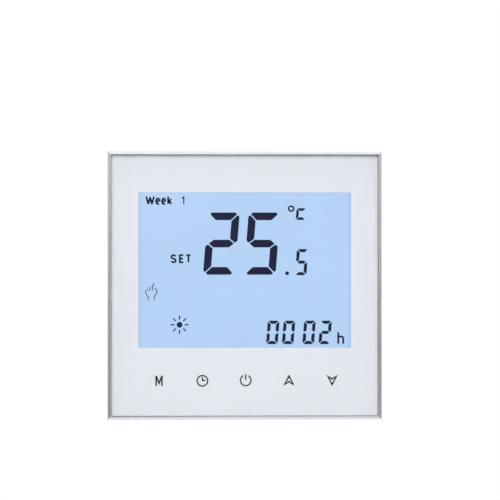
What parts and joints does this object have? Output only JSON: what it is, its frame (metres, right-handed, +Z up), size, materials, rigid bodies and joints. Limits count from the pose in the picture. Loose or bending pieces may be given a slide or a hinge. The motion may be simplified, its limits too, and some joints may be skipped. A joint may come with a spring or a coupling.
{
  "type": "wall thermostat",
  "caption": "Square touch glass wall thermostat with a lit segment display, a thin metal edge, a clip-on display unit and a power box with wire terminals behind the wall.",
  "frame": {"origin": "centre of the mounting plate's back face, which lies on the wall", "axes": "the glass looks along -Y, +Z is up, +X is to the right seen from the front"},
  "size_m": [0.088, 0.04, 0.086],
  "materials": {
    "clear_glass": "polished flat glass, 1.8 mm",
    "white_print": "even cool white print",
    "display": "pale blue lit segment display",
    "clear_acrylic": "clear moulded acrylic",
    "bright_aluminium": "drawn, finely brushed and clear anodised",
    "white_plastic": "moulded with a fine spark texture",
    "black_plastic": "moulded, satin",
    "green_plastic": "moulded, satin",
    "blue_plastic": "moulded, satin",
    "yellow_plastic": "taped and moulded, satin",
    "board": "green solder mask on glass epoxy",
    "rubber": "silicone rubber",
    "steel": "zinc plated",
    "brass": "stamped brass"
  },
  "bodies": {
    "wall_unit": {"mounting_plate": "steel", "power_box": "white_plastic", "power_box_lid": "white_plastic", "box_screw_1": "steel", "box_screw_2": "steel", "power_board": "board", "link_socket": "black_plastic", "transformer": "yellow_plastic", "relay": "blue_plastic", "smoothing_capacitor": "black_plastic", "film_capacitor": "yellow_plastic", "varistor": "blue_plastic", "fuse": "black_plastic", "terminal_block": "green_plastic", "contact_bar_1": "brass", "contact_bar_2": "brass", "contact_bar_3": "brass", "contact_bar_4": "brass", "contact_bar_5": "brass", "contact_bar_6": "brass"},
    "display_unit": {"trim_frame": "bright_aluminium", "front_glass": "clear_glass", "print_film": "white_print", "lcd_panel": "display", "lcd_holder": "white_plastic", "light_guide": "clear_acrylic", "reflector_sheet": "white_print", "led_bar": "white_plastic", "zebra_strip": "rubber", "display_board": "board", "board_screw_1": "steel", "board_screw_2": "steel", "board_screw_3": "steel", "board_screw_4": "steel", "touch_spring_1": "steel", "touch_spring_2": "steel", "touch_spring_3": "steel", "touch_spring_4": "steel", "touch_spring_5": "steel", "microcontroller": "black_plastic", "wifi_module": "steel", "buzzer": "black_plastic", "clock_cell": "steel", "room_sensor": "black_plastic", "link_header": "black_plastic", "rear_housing": "white_plastic"},
    "screw_1": {"terminal_screw_1": "steel"},
    "cage_1": {"clamp_cage_1": "steel"},
    "screw_2": {"terminal_screw_2": "steel"},
    "cage_2": {"clamp_cage_2": "steel"},
    "screw_3": {"terminal_screw_3": "steel"},
    "cage_3": {"clamp_cage_3": "steel"},
    "screw_4": {"terminal_screw_4": "steel"},
    "cage_4": {"clamp_cage_4": "steel"},
    "screw_5": {"terminal_screw_5": "steel"},
    "cage_5": {"clamp_cage_5": "steel"},
    "screw_6": {"terminal_screw_6": "steel"},
    "cage_6": {"clamp_cage_6": "steel"}
  },
  "joints": [
    {"name": "display_pull_off", "type": "slide", "parent": "wall_unit", "child": "display_unit", "axis": [0, -1, 0], "range_m": [0, 0.012]},
    {"name": "terminal_screw_1_turn", "type": "hinge", "parent": "wall_unit", "child": "screw_1", "pos_m": [-0.01875, 0.022, -0.019], "axis": [0, -1, 0], "range_deg": [0, 1800]},
    {"name": "clamp_cage_1_rise", "type": "slide", "parent": "wall_unit", "child": "cage_1", "axis": [0, 1, 0], "range_m": [0, 0.0025]},
    {"name": "terminal_screw_2_turn", "type": "hinge", "parent": "wall_unit", "child": "screw_2", "pos_m": [-0.01125, 0.022, -0.019], "axis": [0, -1, 0], "range_deg": [0, 1800]},
    {"name": "clamp_cage_2_rise", "type": "slide", "parent": "wall_unit", "child": "cage_2", "axis": [0, 1, 0], "range_m": [0, 0.0025]},
    {"name": "terminal_screw_3_turn", "type": "hinge", "parent": "wall_unit", "child": "screw_3", "pos_m": [-0.00375, 0.022, -0.019], "axis": [0, -1, 0], "range_deg": [0, 1800]},
    {"name": "clamp_cage_3_rise", "type": "slide", "parent": "wall_unit", "child": "cage_3", "axis": [0, 1, 0], "range_m": [0, 0.0025]},
    {"name": "terminal_screw_4_turn", "type": "hinge", "parent": "wall_unit", "child": "screw_4", "pos_m": [0.00375, 0.022, -0.019], "axis": [0, -1, 0], "range_deg": [0, 1800]},
    {"name": "clamp_cage_4_rise", "type": "slide", "parent": "wall_unit", "child": "cage_4", "axis": [0, 1, 0], "range_m": [0, 0.0025]},
    {"name": "terminal_screw_5_turn", "type": "hinge", "parent": "wall_unit", "child": "screw_5", "pos_m": [0.01125, 0.022, -0.019], "axis": [0, -1, 0], "range_deg": [0, 1800]},
    {"name": "clamp_cage_5_rise", "type": "slide", "parent": "wall_unit", "child": "cage_5", "axis": [0, 1, 0], "range_m": [0, 0.0025]},
    {"name": "terminal_screw_6_turn", "type": "hinge", "parent": "wall_unit", "child": "screw_6", "pos_m": [0.01875, 0.022, -0.019], "axis": [0, -1, 0], "range_deg": [0, 1800]},
    {"name": "clamp_cage_6_rise", "type": "slide", "parent": "wall_unit", "child": "cage_6", "axis": [0, 1, 0], "range_m": [0, 0.0025]}
  ],
  "couplings": [
    {"joint": "terminal_screw_1_turn", "follows": "clamp_cage_1_rise", "rad_per_m": 12565},
    {"joint": "terminal_screw_2_turn", "follows": "clamp_cage_2_rise", "rad_per_m": 12565},
    {"joint": "terminal_screw_3_turn", "follows": "clamp_cage_3_rise", "rad_per_m": 12565},
    {"joint": "terminal_screw_4_turn", "follows": "clamp_cage_4_rise", "rad_per_m": 12565},
    {"joint": "terminal_screw_5_turn", "follows": "clamp_cage_5_rise", "rad_per_m": 12565},
    {"joint": "terminal_screw_6_turn", "follows": "clamp_cage_6_rise", "rad_per_m": 12565}
  ]
}
